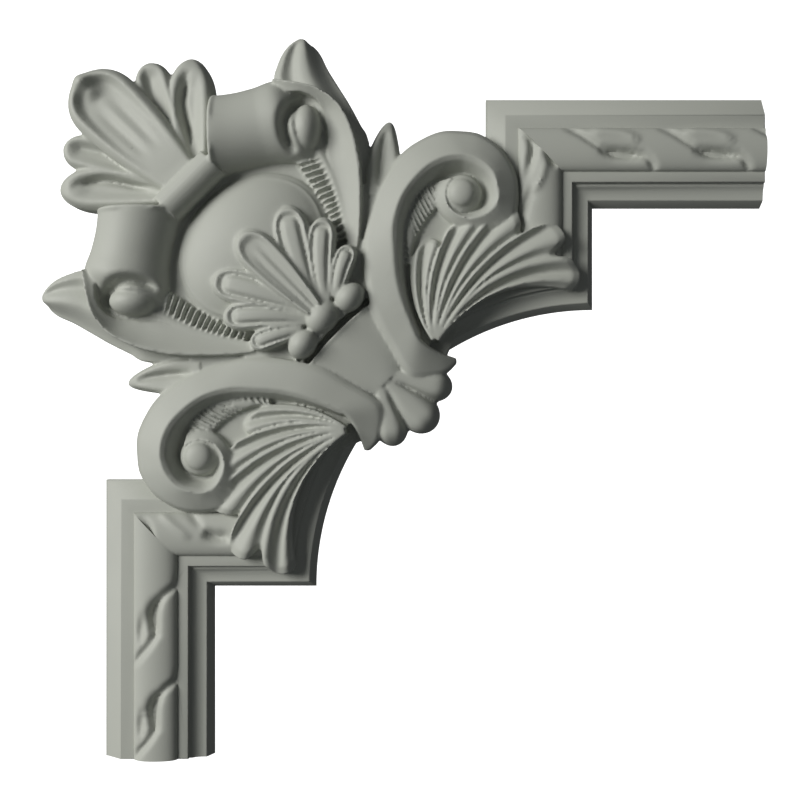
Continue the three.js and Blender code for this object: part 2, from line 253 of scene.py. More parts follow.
LOW_GROUND = [
    (-6, 6), (6, 19), (24, 36), (45, 43), (62, 64), (66, 86), (84, 90), (108, 84), (124, 82),
    (136, 84), (142, 104), (160, 126), (184, 130), (208, 110), (236, 32), (246, 12),
]
MIDDLE_GROUND = [
    (74, 6), (80, 28), (92, 46), (104, 56), (112, 66), (134, 60), (152, 52), (176, 34),
    (206, 18), (218, 6),
]
SCROLL_GROUND = [
    (228, 26), (200, 30), (168, 50), (150, 76), (148, 104), (164, 126), (190, 126), (204, 112),
    (203, 96), (192, 86), (202, 78), (196, 56), (222, 36),
]
NOTCH_GROUND = [(137, 67), (146, 73), (154, 62), (160, 50), (154, 42), (140, 58)]
SADDLE_GROUND = [
    (156, 8), (154, 40), (160, 46), (170, 38), (186, 31), (184, 25), (174, 20), (170, 8),
]
FOOT_GROUND = [(190, 6), (190, 30), (204, 22), (218, 17), (226, 11), (228, 4)]
LOW_TOP = 8
MIDDLE_TOP = 14
SCROLL_TOP = 14.5
NOTCH_TOP = 18
SADDLE_TOP = 20
FOOT_TOP = 17
plate(carving, mirrored(LOW_GROUND), LOW_TOP, ONE_SIDE)
plate(carving, mirrored(SADDLE_GROUND), SADDLE_TOP, ONE_SIDE)
plate(carving, mirrored(FOOT_GROUND), FOOT_TOP, ONE_SIDE)
plate(carving, mirrored(MIDDLE_GROUND), MIDDLE_TOP, ONE_SIDE)
plate(carving, SCROLL_GROUND, SCROLL_TOP, BOTH_SIDES)
plate(carving, NOTCH_GROUND, NOTCH_TOP, BOTH_SIDES)
print("grounds:", len(carving.faces), "faces")

# %% [markdown]
# The shell crowns the corner. Its middle lobe is a heart with a thick rim that dips into a cusp,
# sunk inside and ridged toward the tie; a small and a large lobe lie on each side. A lobe could
# be sculpted by hand, but a petal rule whose rim follows the whole edge gives clean, even rims,
# and strokes cut the rest.

# %% Shell and tie
TIE_PLACE = 71.5
TIE_HALF_WIDTH = 9
TIE_HALF_LENGTH = 18
TIE_FOOT = 20
TIE_RISE = 9.5


def tie_top(s, t):
    a = TIE_PLACE + TIE_HALF_WIDTH * t
    return a, mix(-TIE_HALF_LENGTH, TIE_HALF_LENGTH, s), TIE_FOOT + TIE_RISE * arch(t)


def heart_height(s, t, edge):
    hollow = 4.9 * smooth(s, 0.2, 0.82) * (1 - smooth(edge, 0.5, 0.78))
    rim = 5 * clamp((edge - 0.74) / 0.26) ** 2.2
    ridges = 0.7 * math.cos(4 * HALF_TURN * t) * smooth(s, 0.3, 0.5) * (1 - smooth(s, 0.65, 0.85))
    return mix(25, 17.5, s) - hollow - rim + ridges * (1 - smooth(edge, 0.5, 0.75))


def lobe_height(base, end, rim, sunk):
    def height(s, t, edge):
        return mix(base, end, s) + spoon(edge, rim, sunk * math.sin(HALF_TURN * s) + 0.5)

    return height


heart = petal((76, 0), (-16.5, 0), 9, 20, heart_height, broad=0.76)
small_lobe = petal((72, 3), (3.5, 33.5), 4, 10, lobe_height(21, 13, 5, 3.5), bow=2.5, broad=0.84)
large_lobe = petal((74, 6), (19, 52), 4, 12.5, lobe_height(22, 13, 5, 3.5), bow=3, broad=0.7)
HEART_CUSP = [(-24, 0), (-15, 0), (-7, 0), (1, 0)]
LARGE_LOBE_GROOVE = [(23, 46.5), (28.8, 36.5), (33.8, 30), (40.8, 25), (48.2, 20.5), (57, 14.5)]
SMALL_LOBE_GROOVE = [(6, 31), (12, 26), (20, 20.5), (30, 15.5), (40, 11.5)]
bent_block(carving, 80, 76, carved(heart, [stroke(HEART_CUSP, 4.6, -4, 0.3)]), ONE_SIDE)
bent_block(carving, 50, 30, carved(small_lobe, [stroke(SMALL_LOBE_GROOVE, 2.6, 2.5)]))
bent_block(carving, 50, 36, carved(large_lobe, [stroke(LARGE_LOBE_GROOVE, 2.2, 5)]))
bent_block(carving, 34, 24, tie_top, ONE_SIDE)
print("shell and tie:", len(carving.faces), "faces")

# %% [markdown]
# Beside the shell a flaring roll runs out and curls over, like rolled paper seen from its end.
# It could be turned on an axis, but it is only half proud of the ground and its ends flare, so
# it is a band with a round back that sinks at its end. There a crescent is cut with a stroke, and
# the curl itself is a long bead that lies in the crescent.

# %% Rolls and their curled ends
CRESCENT = [
    (91, 82.5), (85, 78.5), (82, 72.5), (82.3, 66.5), (85, 61), (89.5, 56.8), (95, 54), (101, 53),
]
COLLAR = 0.035
ROLL_FOOT = 11
CURL = (94, 67)
CURL_HEIGHT = 18
CURL_RADII = (8.2, 12.8, 12.5)
roll_rise = value_through([23.4, 21.8, 21.4, 22.4, 14, 6])


def roll_height(s, t):
    collar = 1.4 * bump(s - COLLAR, 0.02) * smooth(abs(t), 0.2, 0.5)
    return ROLL_FOOT + collar + roll_rise(s) * arch(0.97 * t)


roll = between(
    [(44, 44), (51, 53), (57, 63), (62, 73), (70, 80), (84, 85)],
    [(78, 11), (83, 23), (92, 38), (103, 50), (109, 56), (112, 63)],
    roll_height,
)


def across_curl(x, y, z):
    along, beside = CURL_RADII[1] * y, CURL_RADII[0] * x
    return (beside + along) * ROOT_HALF, (beside - along) * ROOT_HALF, CURL_RADII[2] * z


bent_block(carving, 84, 64, carved(roll, [stroke(CRESCENT, 2.6, 8, 0.2)]))
ball(carving, *CURL, CURL_HEIGHT, (1, 1, 1), shape=across_curl)
print("with rolls:", len(carving.faces), "faces")

# %% [markdown]
# From each curl a strap sweeps down to a point, over a pointed leaf whose tip stands clear of
# the silhouette. Both are bands between two edge lines, because their width is not even and
# their edges are what the eye follows. The strap is dished: it climbs to a rim on its outer edge.

# %% Straps and leaves
STRAP_OUTER = [
    (63, 73), (70, 77.5), (77, 82), (86, 86.5), (98.7, 88), (111.7, 84.2), (124, 77.2),
    (134.6, 68.8), (144.1, 59.4), (153.3, 49.5), (161, 40),
]
STRAP_INNER = [
    (65, 71.5), (73, 73), (80.3, 79), (88, 81.5), (96, 79), (105.3, 71.2), (113.4, 64),
    (123.4, 58.5), (135.3, 51.2), (146.8, 43.5), (156.5, 36.5),
]
LEAF_OUTER = [
    (57.5, 104), (62, 104.2), (68, 103), (76.5, 99.8), (87.1, 97), (99.6, 93.8), (111.4, 90),
    (120.4, 87), (131.4, 75), (143.1, 63), (157, 48),
]
LEAF_INNER = [
    (53.4, 101), (52.6, 96), (53.8, 89), (57, 81.5), (62, 74), (74, 70), (90, 66), (104, 60),
    (120, 56), (138, 48), (154, 38),
]
strap_rim = value_through([27, 29, 30, 30, 29, 28, 27, 26, 25, 24, 22])
strap_foot = value_through([25, 26, 27, 25, 21, 19, 18.5, 18.5, 18.5, 19, 20])
leaf_crest = value_through([10, 13, 16, 18, 19, 20, 20, 20, 20, 20, 20])


def strap_height(s, t):
    q = (t + 1) / 2
    return mix(strap_rim(s), strap_foot(s), 1 - (1 - q) ** 1.7) - 1.6 * (1 - smooth(q, 0, 0.1))


def leaf_height(s, t):
    q = (t + 1) / 2
    flank = 9 * (1 - smooth(q, 0, 0.42)) * (1 - 0.5 * smooth(s, 0.5, 0.9))
    groove = 3 * bump(q - 0.72, 0.14) * smooth(s, 0.04, 0.2)
    return leaf_crest(s) - flank - groove - 2.5 * smooth(q, 0.85, 1)


small_leaf = petal((148, 70), (121.5, 103), 9, 10.8, lobe_height(19, 12, 4, 1), bow=1, broad=0.32,
                   taper=lambda share: (1 - share) ** 0.52)
SMALL_LEAF_GROOVE = [(124, 98.5), (128, 92), (133, 85), (139, 78), (145, 72)]
bent_block(carving, 110, 26, between(STRAP_OUTER, STRAP_INNER, strap_height))
bent_block(carving, 100, 36, between(LEAF_OUTER, LEAF_INNER, leaf_height))
bent_block(carving, 30, 20, carved(small_leaf, [stroke(SMALL_LEAF_GROOVE, 1.8, 3)]))
print("with straps:", len(carving.faces), "faces")

# %% [markdown]
# The dome is a smooth flattened ball, and it shows how clean a surface this casting has. A fine
# pair of beads follows its edge, then a row of small teeth; a finer row lies in each scroll.

# %% Dome and toothed rows
DOME = (119, 0)
DOME_FOOT = 7
DOME_RADII = (39, 48, 21.8)
BEAD_RINGS = (0.875, 0.925)
BEAD_RISE = 0.05
BEAD_WIDTH = 0.014


def dome_shape(x, y, z):
    far = math.hypot(x, y)
    rings = sum(bump(far - ring, BEAD_WIDTH) for ring in BEAD_RINGS)
    beads = BEAD_RISE * rings * smooth(abs(y), 0.45, 0.7)
    return x, y, z + (beads if z > 0 else 0)


def toothed(first, second, pitch, low, high):
    line = curve_through(first)
    length = sum((line(i / 40) - line((i + 1) / 40)).length for i in range(40))
    count = round(length / pitch)

    def height(s, t):
        return mix(low, high, 0.5 - 0.5 * math.cos(2 * HALF_TURN * count * s)) - 1.2 * t * t

    return count, between(first, second, height)


ball(carving, *DOME, DOME_FOOT, DOME_RADII, ONE_SIDE, rows=96, shape=dome_shape)
dome_count, dome_teeth = toothed(
    [(103, 49.5), (115.5, 47), (128.3, 44.5), (138.8, 40), (150, 34)],
    [(110.4, 62), (120.5, 58), (131.8, 53.6), (141.5, 48), (152.5, 41)],
    3.3, 14, 19.5,
)
scroll_count, scroll_teeth = toothed(
    [(166, 98), (163, 90), (163.4, 80.3), (167.2, 70.6), (174.4, 61), (184, 52)],
    [(174, 93), (174.6, 86.1), (175.8, 76.4), (178.9, 65.6), (182, 60), (187, 54)],
    2.8, 14.5, 19.5,
)
bent_block(carving, 9 * dome_count, 12, dome_teeth)
bent_block(carving, 9 * scroll_count, 12, scroll_teeth)
print("teeth round the dome and in a scroll:", dome_count, scroll_count)

# %% [markdown]
# Each big scroll is one ribbon. It starts at a hooked end beside the foot, climbs, turns over
# and winds into a volute round a flat boss. The inner edge stands highest, and a wall falls from
# it to the ground inside the scroll. Ribbon and wall are two bands that share the inner edge.

# %% Scrolls
SCROLL_OUTER = [
    (242.5, 34.5), (241.5, 24), (231, 11), (210, 15), (193, 20), (180, 27.5), (168, 36), (158, 44.5),
    (150, 56), (144, 69.5), (140.5, 83), (139.5, 96), (141.5, 107), (146, 118), (153.5, 126),
    (162.5, 132.5), (175, 135.2), (186.5, 133.3), (196, 129), (204, 121.6), (209, 113),
    (208, 103), (202, 94.5), (194, 89), (186, 86), (177, 86), (169, 90), (165, 97),
]
SCROLL_INNER = [
    (240.5, 36), (231, 31.5), (219, 29.5), (207, 34), (196.5, 39), (187, 45), (177, 53.5),
    (167, 63), (161, 72.5), (158, 81), (157, 90), (157.5, 99), (160.5, 107.5), (165.5, 114),
    (170, 117), (175, 118.8), (181, 119.5), (186, 118.5), (191, 115.5), (195, 112), (196.5, 107),
    (195.5, 101), (192, 95), (186, 91.5), (179, 91.5), (174, 94.5), (171, 99), (170, 104),
]
SCROLL_WALL_FOOT = [
    (218, 32), (208, 37.5), (199, 43), (190.5, 49), (181, 57.5), (172.5, 68), (167.5, 76.5),
    (165, 84), (165, 91), (166, 98), (168, 104), (171, 108.5), (174, 110.5), (177.5, 112),
    (181.5, 113), (185, 112.5), (188, 110.5), (190, 108), (191, 105), (190, 101.5), (188, 97.5),
    (185, 95), (180, 93), (174.5, 95.5),
]
scroll_rim = value_through(
    [12, 18, 24, 26] + [27] * 14 + [26.5, 26, 25.5, 25, 24.5, 24, 23.5, 23, 22.5, 22]
)
scroll_edge = value_through([11, 14, 18, 21, 23, 23, 21, 17] + [13.5] * 12 + [15] * 4 + [16] * 4)


def scroll_height(s, t):
    q = (t + 1) / 2
    shoulder = 0.35 * math.sin(QUARTER_TURN * clamp(q / 0.22)) + 0.65 * clamp(q / 0.92)
    return mix(scroll_edge(s), scroll_rim(s), shoulder) - 1.6 * smooth(q, 0.92, 1)


def wall_height(s, t):
    return mix(scroll_rim(mix(2, 25, s) / 27) - 1.2, 14 + 2 * smooth(s, 0.5, 0.9), smooth(t, -1, 1))


BOSS = (179.4, 101.4)
BOSS_FOOT = 8
BOSS_RADII = (8, 8, 18)
BOSS_BED_FOOT = 6
BOSS_BED_RADII = (11, 11, 17)
BOSS_FLATNESS = 0.22


def boss_shape(x, y, z):
    return x, y, math.copysign(abs(z) ** BOSS_FLATNESS, z)


bent_block(carving, 260, 26, between(SCROLL_OUTER, SCROLL_INNER, scroll_height))
bent_block(carving, 200, 12, between(SCROLL_INNER[2:26], SCROLL_WALL_FOOT, wall_height))
ball(carving, *BOSS, BOSS_FOOT, BOSS_RADII, shape=boss_shape)
ball(carving, *BOSS, BOSS_BED_FOOT, BOSS_BED_RADII, shape=boss_shape)
print("with scrolls:", len(carving.faces), "faces")

# %% [markdown]
# A leaf springs from each scroll's hook and fans out over the moulding's step. Each lobe is a
# channel between two ridges, and a shallower channel runs down from each notch. The whole leaf
# is one block, fluted by a wave across it, because separate lobes would leave seams in the
# notches.

# %% Scroll leaves
LEAF_BASE = (226.5, 32)
LEAF_LOBES = 5
LEAF_EDGE = [
    (186, 55), (183, 63), (183.3, 71), (188, 74), (191.5, 74.5),
    (188, 82.5), (189.8, 91), (195, 96.5), (199, 97.5),
    (200.2, 105), (204.6, 116.5), (212.8, 113.5), (217.5, 109.5),
    (221, 118.5), (227.5, 126.5), (237, 124), (238.7, 114.5),
    (246.5, 118.5), (255, 117.5), (259.3, 112), (259, 107),
]
leaf_edge = curve_through(LEAF_EDGE)
leaf_bow = value_through([4, 5, 5.5, 6, 6.5, 7.5, 8, 9, 11, 12.5, 13])
leaf_end = value_through([17, 20.5, 20, 21.5, 21, 22, 21.5, 22, 21.5, 21, 15])


def scroll_leaf(s, t):
    share = (t + 1) / 2
    base = Vector(LEAF_BASE)
    chord = leaf_edge(share) - base
    left = Vector((-chord.y, chord.x)).normalized()
    p = base + chord * mix(0.04, 1, s) + left * leaf_bow(share) * 4 * s * (1 - s)
    spot = LEAF_LOBES * share
    channel = (0.5 + 0.5 * math.cos(4 * HALF_TURN * spot)) ** 1.2
    channel *= smooth(min(share, 1 - share), 0, 0.05)
    in_lobe = 0.5 - 0.5 * math.cos(2 * HALF_TURN * spot)
    depth = mix(2.6, 5, in_lobe) * math.sin(HALF_TURN * clamp(0.12 + 0.62 * s)) * channel
    crest = mix(24, leaf_end(share), s**1.5)
    return p.x, p.y, crest - depth - 2 * smooth(s, 0.95, 1)


bent_block(carving, 80, 170, scroll_leaf)
print("with leaves:", len(carving.faces), "faces")

# %% [markdown]
# The palmette lies over the dome: a broad rimmed petal in the middle and three grooved ones on
# each side, which overlap like a fan and meet at a bar of three beads. Under the beads is a deep
# slot and then a plain panel that runs between the scrolls.

# %% Palmette, beads and panel
def side_petal_height(s, t, edge):
    groove = 2.6 * bump(edge - 0.56, 0.16) * smooth(s, 0.05, 0.25)
    return 28.6 + 2.6 * math.sin(HALF_TURN * s) - 3.4 * smooth(edge, 0.74, 1) - groove


def middle_petal_height(s, t, edge):
    ridges = 0.6 * math.cos(4 * HALF_TURN * t) * (1 - smooth(s, 0.6, 0.85))
    inside = 2 * (1 - smooth(edge, 0.5, 0.76)) - ridges * (1 - smooth(edge, 0.5, 0.7))
    return 33 + 1.1 * math.sin(HALF_TURN * s) - inside - 3.4 * smooth(edge, 0.8, 1)


SIDE_PETALS = [
    ((172, 13), (157.5, 38.5), 3, 5.8, 1.5),
    ((170, 7), (136.5, 39), 3, 7.6, 2.3),
    ((167, 3), (117.5, 29), 3, 9.8, 2.3),
]
for root, tip, neck, half, bow in SIDE_PETALS:
    bent_block(carving, 44, 28, petal(root, tip, neck, half, side_petal_height, bow, 0.74))
bent_block(carving, 50, 40, petal((169, 0), (111, 0), 5, 10.5, middle_petal_height), ONE_SIDE)


def bead_bed(s, t):
    return mix(163, 181, s) + 2 * abs(t), 24 * t, 24 - 3 * t**4


MIDDLE_BEAD = (173.5, 0)
MIDDLE_BEAD_RADII = (8.6, 10.4, 10.5)
SIDE_BEAD = (176.5, 17.8)
SIDE_BEAD_RADII = (7.4, 9, 9.5)
BEAD_HEIGHT = 23
PANEL_START = 185.2
PANEL_END = 223
panel_half = value_through([25, 24.5, 23, 20, 15, 10])


def panel_top(s, t):
    a = mix(PANEL_START, PANEL_END, s)
    rim = 0.8 * (1 - smooth(s, 0, 0.06))
    return a + 1.5 * t * t * (1 - s), panel_half(s) * t, mix(24, 19.5, s) + rim - 2 * t * t


bent_block(carving, 12, 40, bead_bed, ONE_SIDE)
ball(carving, *MIDDLE_BEAD, BEAD_HEIGHT, MIDDLE_BEAD_RADII, ONE_SIDE)
ball(carving, *SIDE_BEAD, BEAD_HEIGHT, SIDE_BEAD_RADII)
bent_block(carving, 40, 60, panel_top, ONE_SIDE)
print("with palmette and panel:", len(carving.faces), "faces")

# %% [markdown]
# Three drops hang under the foot of the panel, where both hooks meet. They are petals again,
# domed and not sunk, and a curved groove parts the middle one from the one on each side.

# %% Drops
def drop_height(s, t, edge):
    return mix(19, 17, s) - mix(5, 8.5, s) * edge**3


middle_drop = petal((220, 0), (259.5, 0), 3, 10.8, drop_height, 0, 0.7)
side_drop = petal((219, 3), (250.5, 23), 3, 9.4, drop_height, -1, 0.68)
DROP_GROOVE = [(226, 3), (233, 5.6), (240, 8), (246, 10), (252, 13)]
drop_grooves = [
    stroke([(a, b * side) for a, b in DROP_GROOVE], 1.4, 2.4, 0.3) for side in BOTH_SIDES
]
bent_block(carving, 50, 40, carved(middle_drop, drop_grooves), ONE_SIDE)
bent_block(carving, 46, 40, carved(side_drop, drop_grooves[:1]))
bmesh.ops.recalc_face_normals(carving, faces=carving.faces)
print("all carved forms:", len(carving.faces), "faces")

# %% [markdown]
# The forms still cross each other with hard edges, which no casting has. A voxel remesh melts
# them into one skin, a little smoothing rounds every crease as the mould did, and a decimate
# spends the remaining triangles where the carving is fine.

# %% Melt the carving into one skin
VOXEL = 0.0008
CARVING_TRIANGLES = 145000
CUT_TOLERANCE = 1e-7
TINY_EDGE = 1e-6


def mesh_object(name, bm):
    mesh = bpy.data.meshes.new(name)
    bm.to_mesh(mesh)
    bm.free()
    piece = bpy.data.objects.new(name, mesh)
    bpy.context.scene.collection.objects.link(piece)
    return piece


def apply_modifiers(piece):
    graph = bpy.context.evaluated_depsgraph_get()
    mesh = bpy.data.meshes.new_from_object(piece.evaluated_get(graph))
    piece.modifiers.clear()
    piece.data = mesh


def trim_back(piece):
    """Cut at the wall face, close the cut, and count the edges that lack two faces."""
    bm = bmesh.new()
    bm.from_mesh(piece.data)
    geom = bm.verts[:] + bm.edges[:] + bm.faces[:]
    made = bmesh.ops.bisect_plane(bm, geom=geom, dist=CUT_TOLERANCE, plane_co=(0, 0, 0),
                                  plane_no=(0, 1, 0), clear_outer=True)
    rim = [e for e in made["geom_cut"] if isinstance(e, bmesh.types.BMEdge)]
    bmesh.ops.holes_fill(bm, edges=rim, sides=0)
    bmesh.ops.triangulate(bm, faces=bm.faces)
    bmesh.ops.dissolve_degenerate(bm, edges=bm.edges, dist=TINY_EDGE)
    bmesh.ops.triangulate(bm, faces=bm.faces)
    bmesh.ops.recalc_face_normals(bm, faces=bm.faces)
    bm.to_mesh(piece.data)
    open_edges = sum(not e.is_manifold for e in bm.edges)
    bm.free()
    return open_edges


casting = mesh_object("corner_casting", carving)
remesh = casting.modifiers.new("skin", "REMESH")
remesh.mode = "VOXEL"
remesh.voxel_size = VOXEL
rounding = casting.modifiers.new("rounding", "SMOOTH")
rounding.factor = 0.5
rounding.iterations = 3
apply_modifiers(casting)
open_edges = trim_back(casting)
thinning = casting.modifiers.new("thinning", "DECIMATE")
thinning.ratio = min(1, CARVING_TRIANGLES / len(casting.data.polygons))
apply_modifiers(casting)
print("carving:", len(casting.data.polygons), "triangles, open edges:", open_edges)

# %% [markdown]
# The moulding is a crisp profile swept along the frame's line: two runs, two mitred steps and a
# hollow quarter arc. A curve with a bevel object would shear at the mitres. So it is one more
# bent block, with a row of the grid for each station and a column for each profile point, and
# each profile point follows its own line through the mitres. Its long edges are then bevelled.

# %% Moulding
MOULDING_WIDTH = 60
RUN_REACH = 366
STEP_START = 212
STEP_FOOT = 117
FLAT_HEIGHT = 12.8
ARC_STEPS = 48
LAST_STATION = ARC_STEPS + 4
HOLLOW_CENTRE = STEP_START + MOULDING_WIDTH
HOLLOW_RADIUS = HOLLOW_CENTRE - STEP_FOOT
COVE = [(49.2, 10), (50.4, 8.9), (52, 8.2), (54, 7.75), (56, 7.6)]
PROFILE = [(0, 0), (0, 5), (0.8, 5), (10.5, FLAT_HEIGHT), (47.6, FLAT_HEIGHT), (47.6, 10),
           *COVE, (56.8, 7.6), (MOULDING_WIDTH, 0)]
EDGE_ROUND = 0.0005
WELD = 1e-6
FOLD = math.radians(25)


def moulding_line(w, station):
    """Right and down of the line at width w from the outer edge, at a station."""
    mirror = station > LAST_STATION / 2
    k = LAST_STATION - station if mirror else station
    radius = HOLLOW_RADIUS + MOULDING_WIDTH - w
    mitre = math.asin((MOULDING_WIDTH - w) / radius)
    angle = mix(mitre, QUARTER_TURN - mitre, clamp((k - 2) / ARC_STEPS))
    spots = [
        (RUN_REACH, w),
        (STEP_START + w, w),
        (HOLLOW_CENTRE - radius * math.sin(angle), HOLLOW_CENTRE - radius * math.cos(angle)),
    ]
    right, down = spots[min(k, 2)]
    return (down, right) if mirror else (right, down)


def moulding_top(s, t):
    w, height = PROFILE[round((t + 1) / 2 * (len(PROFILE) - 1))]
    return *moulding_line(w, round(s * LAST_STATION)), height


swept = bmesh.new()
bent_block(swept, LAST_STATION, len(PROFILE) - 1, moulding_top, ONE_SIDE, on_wall)
bmesh.ops.remove_doubles(swept, verts=swept.verts, dist=WELD)
bmesh.ops.recalc_face_normals(swept, faces=swept.faces)
long_edges = [
    e for e in swept.edges
    if e.calc_face_angle() > FOLD and e.calc_length() > 0.002
    and abs(e.verts[0].co.y - e.verts[1].co.y) < 1e-6 and e.verts[0].co.y < -0.001
]
bmesh.ops.bevel(swept, geom=long_edges, offset=EDGE_ROUND, segments=2, profile=0.5,
                affect="EDGES", material=-1)
print("moulding:", len(swept.faces), "faces, bevelled edges:", len(long_edges))

# %% [markdown]
# The rope on the flat is one half-round that follows the moulding and is mitred with it. Its two
# strands part at long S-shaped grooves, which start thin, sink into a deep hollow and run out at
# the far edge. The grooves turn the same way everywhere, because the pattern was cut from one
# real twist and not mirrored. Each is a stroke, placed by right and down like the moulding.

# %% Rope
ROPE_CENTRE = 29.7
ROPE_HALF_WIDTH = 12
ROPE_RISE = 5.6
ROPE_PITCH = 52
ROPE_BED = 0.4
ROPE_GRID = 1.1

RIGHT_GROOVE = [
    (254, 17.5), (262, 21), (269, 25.5), (277, 30.5), (285, 32.4), (293, 32.8), (299.5, 34),
    (303, 37.5), (305.5, 42),
]
RIGHT_HOLLOW = [(273, 29.5), (281, 32), (291, 33), (301, 34)]
RIGHT_SWELL = [(268, 20), (278, 20.2), (288, 21.8), (297, 26.5)]
LOWER_GROOVE = [
    (43, 262), (42, 269), (35.6, 274.5), (30.5, 281), (29, 289), (29.8, 297), (26.5, 303),
    (21.8, 308.5), (17, 315),
]
LOWER_HOLLOW = [(34, 275), (29.6, 283), (29.2, 291), (31, 300)]
LOWER_SIDE_HOLLOW = [(24, 283), (22.4, 294), (22.6, 305)]


def shifted(points, right, down):
    return [(x + right, y + down) for x, y in points]


def right_run_strokes(count):
    for i in range(count):
        ahead = ROPE_PITCH * i
        yield stroke(shifted(RIGHT_GROOVE, ahead, 0), 2, 2.3, 0.12)
        yield stroke(shifted(RIGHT_HOLLOW, ahead, 0), 3.2, 4.4, 0.45)
        yield stroke(shifted(RIGHT_SWELL, ahead, 0), 2.8, -1.6)


def lower_run_strokes(count):
    for i in range(count):
        ahead = ROPE_PITCH * i
        yield stroke(shifted(LOWER_GROOVE, 0, ahead), 2, 2.3, 0.12)
        yield stroke(shifted(LOWER_HOLLOW, 0, ahead), 3.2, 4.4, 0.45)
        yield stroke(shifted(LOWER_SIDE_HOLLOW, 0, ahead), 2.4, 2.4, 0.5)


right_step_strokes = [
    stroke([(230, 20), (236, 24.5), (237.6, 30), (236, 39), (233, 49)], 2.3, 3.6, 0.4),
    stroke([(245.5, 29), (247.3, 35), (251, 41)], 2.2, 2.8, 0.4),
    stroke([(245, 34), (242.5, 45), (238, 54), (232, 67)], 1.8, -1.4),
    stroke([(240, 50), (234, 60), (229, 72)], 2.4, 2.6, 0.4),
]
lower_step_strokes = [
    stroke([(21, 231), (26, 237), (27.5, 244), (26, 252)], 2.2, 2.3, 0.4),
    stroke([(44, 225), (50, 231), (57, 239)], 2.2, 1.8, 0.4),
    stroke([(56, 240.5), (64, 243), (74, 243)], 3, 4, 0.4),
    stroke([(32, 228), (40, 236), (50, 244)], 2.4, -1.2),
]
ROPE_STRETCHES = [
    (0, list(right_run_strokes(3))),
    (1, right_step_strokes),
    (LAST_STATION - 2, lower_step_strokes),
    (LAST_STATION - 1, list(lower_run_strokes(3))),
]


def rope(station, strokes):
    length = math.dist(moulding_line(ROPE_CENTRE, station), moulding_line(ROPE_CENTRE, station + 1))

    def top(s, t):
        turned = -math.cos(HALF_TURN * (t + 1) / 2)
        w = ROPE_CENTRE + ROPE_HALF_WIDTH * turned
        place = Vector(moulding_line(w, station)).lerp(Vector(moulding_line(w, station + 1)), s)
        rise = ROPE_RISE * arch(turned) ** 0.9
        cut = sum(one(*place) for one in strokes)
        rise = max(0, rise - cut * smooth(rise, 0, 2))
        return place.x, place.y, FLAT_HEIGHT - ROPE_BED + rise

    bm = bmesh.new()
    bent_block(bm, round(length / ROPE_GRID), 28, top, ONE_SIDE, on_wall)
    bmesh.ops.recalc_face_normals(bm, faces=bm.faces)
    return mesh_object(f"rope_{station}", bm)


print("rope strokes:", sum(len(strokes) for _, strokes in ROPE_STRETCHES))

# %% [markdown]
# The rope goes onto the moulding and the moulding into the carving with true unions, because a
# remesh would round the moulding's crisp edges. The whole is trimmed at the wall face once more,
# and only edges that turn sharply stay hard to the light.

# %% Join the casting
SHARP = math.radians(50)


def join_solid(piece, other):
    union = piece.modifiers.new("join", "BOOLEAN")
    union.operation = "UNION"
    union.solver = "MANIFOLD"
    union.object = other
    apply_modifiers(piece)
    bpy.data.objects.remove(other)


body = mesh_object("moulding", swept)
for station, strokes in ROPE_STRETCHES:
    join_solid(body, rope(station, strokes))
join_solid(casting, body)
open_edges = trim_back(casting)
casting.data.shade_smooth()
casting.data.set_sharp_from_angle(angle=SHARP)
print("casting:", len(casting.data.polygons), "triangles, open edges:", open_edges)

# %% [markdown]
# Shader nodes are long to write out. One small class lets their maths read as plain arithmetic.

# %% Shader arithmetic
class Field:
    def __init__(self, tree, socket):
        self.tree = tree
        self.socket = socket

    def node(self, kind, settings=None, **inputs):
        made = self.tree.nodes.new(kind)
        for name, value in (settings or {}).items():
            setattr(made, name, value)
        for name, value in inputs.items():
            key = int(name[1:]) if name[0] == "i" and name[1:].isdigit() else name.replace("_", " ")
            if isinstance(value, Field):
                self.tree.links.new(value.socket, made.inputs[key])
            elif value is not None:
                made.inputs[key].default_value = value
        return made

    def maths(self, operation, first, second):
        made = self.node("ShaderNodeMath", {"operation": operation}, i0=first, i1=second)
        return Field(self.tree, made.outputs[0])

    def __add__(self, other):
        return self.maths("ADD", self, other)

    def __mul__(self, other):
        return self.maths("MULTIPLY", self, other)

    __radd__ = __add__
    __rmul__ = __mul__


# %% [markdown]
# The finish is a factory primer: matte, grey green and very even, with a faint mottle where it
# pooled and a fine grain from the spray. Both also make the surface a little rougher.

# %% Primer
PRIMER = (0.47, 0.485, 0.435, 1)
PRIMER_POOLED = (0.435, 0.452, 0.41, 1)


def primer():
    material = bpy.data.materials.new("primed_foam")
    material.use_nodes = True
    tree = material.node_tree
    shader = tree.nodes["Principled BSDF"]
    place = Field(tree, tree.nodes.new("ShaderNodeTexCoord").outputs["Object"])
    mottle = place.node("ShaderNodeTexNoise", Vector=place, Scale=28, Detail=3, Roughness=0.55)
    mottle = Field(tree, mottle.outputs[0])
    grain = place.node("ShaderNodeTexNoise", Vector=place, Scale=1400, Detail=2, Roughness=0.6)
    grain = Field(tree, grain.outputs[0])
    colour = place.node("ShaderNodeMix", {"data_type": "RGBA"}, Factor=mottle)
    colour.inputs[6].default_value = PRIMER
    colour.inputs[7].default_value = PRIMER_POOLED
    tree.links.new(colour.outputs[2], shader.inputs["Base Color"])
    roughness = 0.5 + 0.12 * mottle + 0.06 * grain
    tree.links.new(roughness.socket, shader.inputs["Roughness"])
    spray = place.node("ShaderNodeBump", Height=grain, Strength=0.12, Distance=0.0004)
    tree.links.new(spray.outputs[0], shader.inputs["Normal"])
    shader.inputs["IOR"].default_value = 1.45
    return material


casting.data.materials.clear()
casting.data.materials.append(primer())
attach(casting, "root")
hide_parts("corner_moulding")
print("primer on", casting.name)

